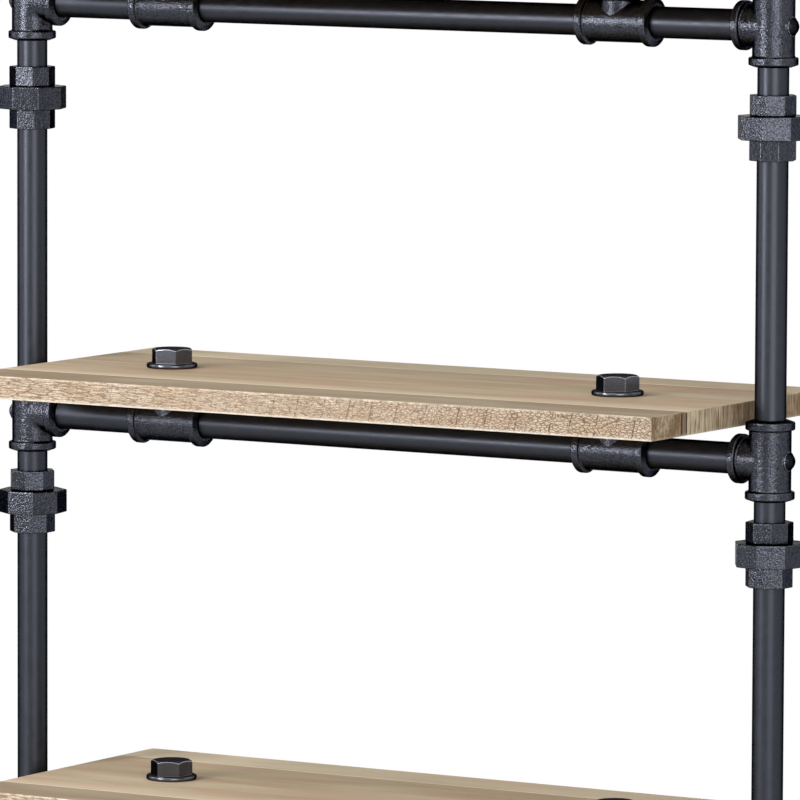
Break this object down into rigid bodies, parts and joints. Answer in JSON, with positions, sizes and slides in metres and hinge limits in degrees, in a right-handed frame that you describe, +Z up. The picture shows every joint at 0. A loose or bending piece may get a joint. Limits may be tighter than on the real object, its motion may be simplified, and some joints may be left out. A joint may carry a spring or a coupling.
{
  "type": "pipe shelving unit",
  "caption": "Open shelving unit of threaded iron pipe, cast tees and octagonal unions, with oak boards bolted to its crossbars and levelling glides under its feet.",
  "frame": {"origin": "on the floor, under the middle of the unit", "axes": "+X along the boards to the right, +Y from the front to the back, +Z up"},
  "size_m": [0.8042, 0.302, 1.3645],
  "materials": {
    "pipe": "semi-gloss black paint on steel pipe",
    "casting": "glossy black paint over rough sand-cast iron",
    "bolt": "gloss black paint on a forged bolt",
    "screw": "satin black oxide",
    "board": "pale oak, matt, with a rough sawn edge",
    "stud": "zinc plated",
    "pad": "matt black plastic"
  },
  "bodies": {
    "frame": {"board_tier_1": "board", "crossbar_tees_tier_1": "casting", "crossbar_centre_pipe_tier_1": "pipe", "crossbar_end_pipes_tier_1": "pipe", "shelf_bolts_tier_1": "bolt", "board_tier_2": "board", "crossbar_tees_tier_2": "casting", "crossbar_centre_pipe_tier_2": "pipe", "crossbar_end_pipes_tier_2": "pipe", "shelf_bolts_tier_2": "bolt", "board_tier_3": "board", "crossbar_tees_tier_3": "casting", "crossbar_centre_pipe_tier_3": "pipe", "crossbar_end_pipes_tier_3": "pipe", "shelf_bolts_tier_3": "bolt", "board_tier_4": "board", "crossbar_tees_tier_4": "casting", "crossbar_centre_pipe_tier_4": "pipe", "crossbar_end_pipes_tier_4": "pipe", "shelf_bolts_tier_4": "bolt", "upright_tee_left_tier_1": "casting", "upright_tee_left_tier_2": "casting", "upright_tee_left_tier_3": "casting", "top_elbow_left": "casting", "upright_pipe_left_tier_1": "pipe", "upright_pipe_left_tier_2": "pipe", "upright_pipe_left_tier_3": "pipe", "upright_pipe_left_tier_4": "pipe", "union_heads_left": "casting", "union_nuts_left": "casting", "union_tails_left": "casting", "union_nipples_left": "pipe", "foot_tee_left": "casting", "foot_elbows_left": "casting", "foot_pipes_left": "pipe", "upright_tee_right_tier_1": "casting", "upright_tee_right_tier_2": "casting", "upright_tee_right_tier_3": "casting", "top_elbow_right": "casting", "upright_pipe_right_tier_1": "pipe", "upright_pipe_right_tier_2": "pipe", "upright_pipe_right_tier_3": "pipe", "upright_pipe_right_tier_4": "pipe", "union_heads_right": "casting", "union_nuts_right": "casting", "union_tails_right": "casting", "union_nipples_right": "pipe", "foot_tee_right": "casting", "foot_elbows_right": "casting", "foot_pipes_right": "pipe", "locking_screws": "screw", "foot_plugs": "casting"},
    "glide_front_left": {"glide_stud_front_left": "stud", "glide_pad_front_left": "pad"},
    "glide_back_left": {"glide_stud_back_left": "stud", "glide_pad_back_left": "pad"},
    "glide_front_right": {"glide_stud_front_right": "stud", "glide_pad_front_right": "pad"},
    "glide_back_right": {"glide_stud_back_right": "stud", "glide_pad_back_right": "pad"}
  },
  "joints": [
    {"name": "glide_front_left_level", "type": "slide", "parent": "frame", "child": "glide_front_left", "axis": [0, 0, -1], "range_m": [0, 0.01]},
    {"name": "glide_back_left_level", "type": "slide", "parent": "frame", "child": "glide_back_left", "axis": [0, 0, -1], "range_m": [0, 0.01]},
    {"name": "glide_front_right_level", "type": "slide", "parent": "frame", "child": "glide_front_right", "axis": [0, 0, -1], "range_m": [0, 0.01]},
    {"name": "glide_back_right_level", "type": "slide", "parent": "frame", "child": "glide_back_right", "axis": [0, 0, -1], "range_m": [0, 0.01]}
  ]
}
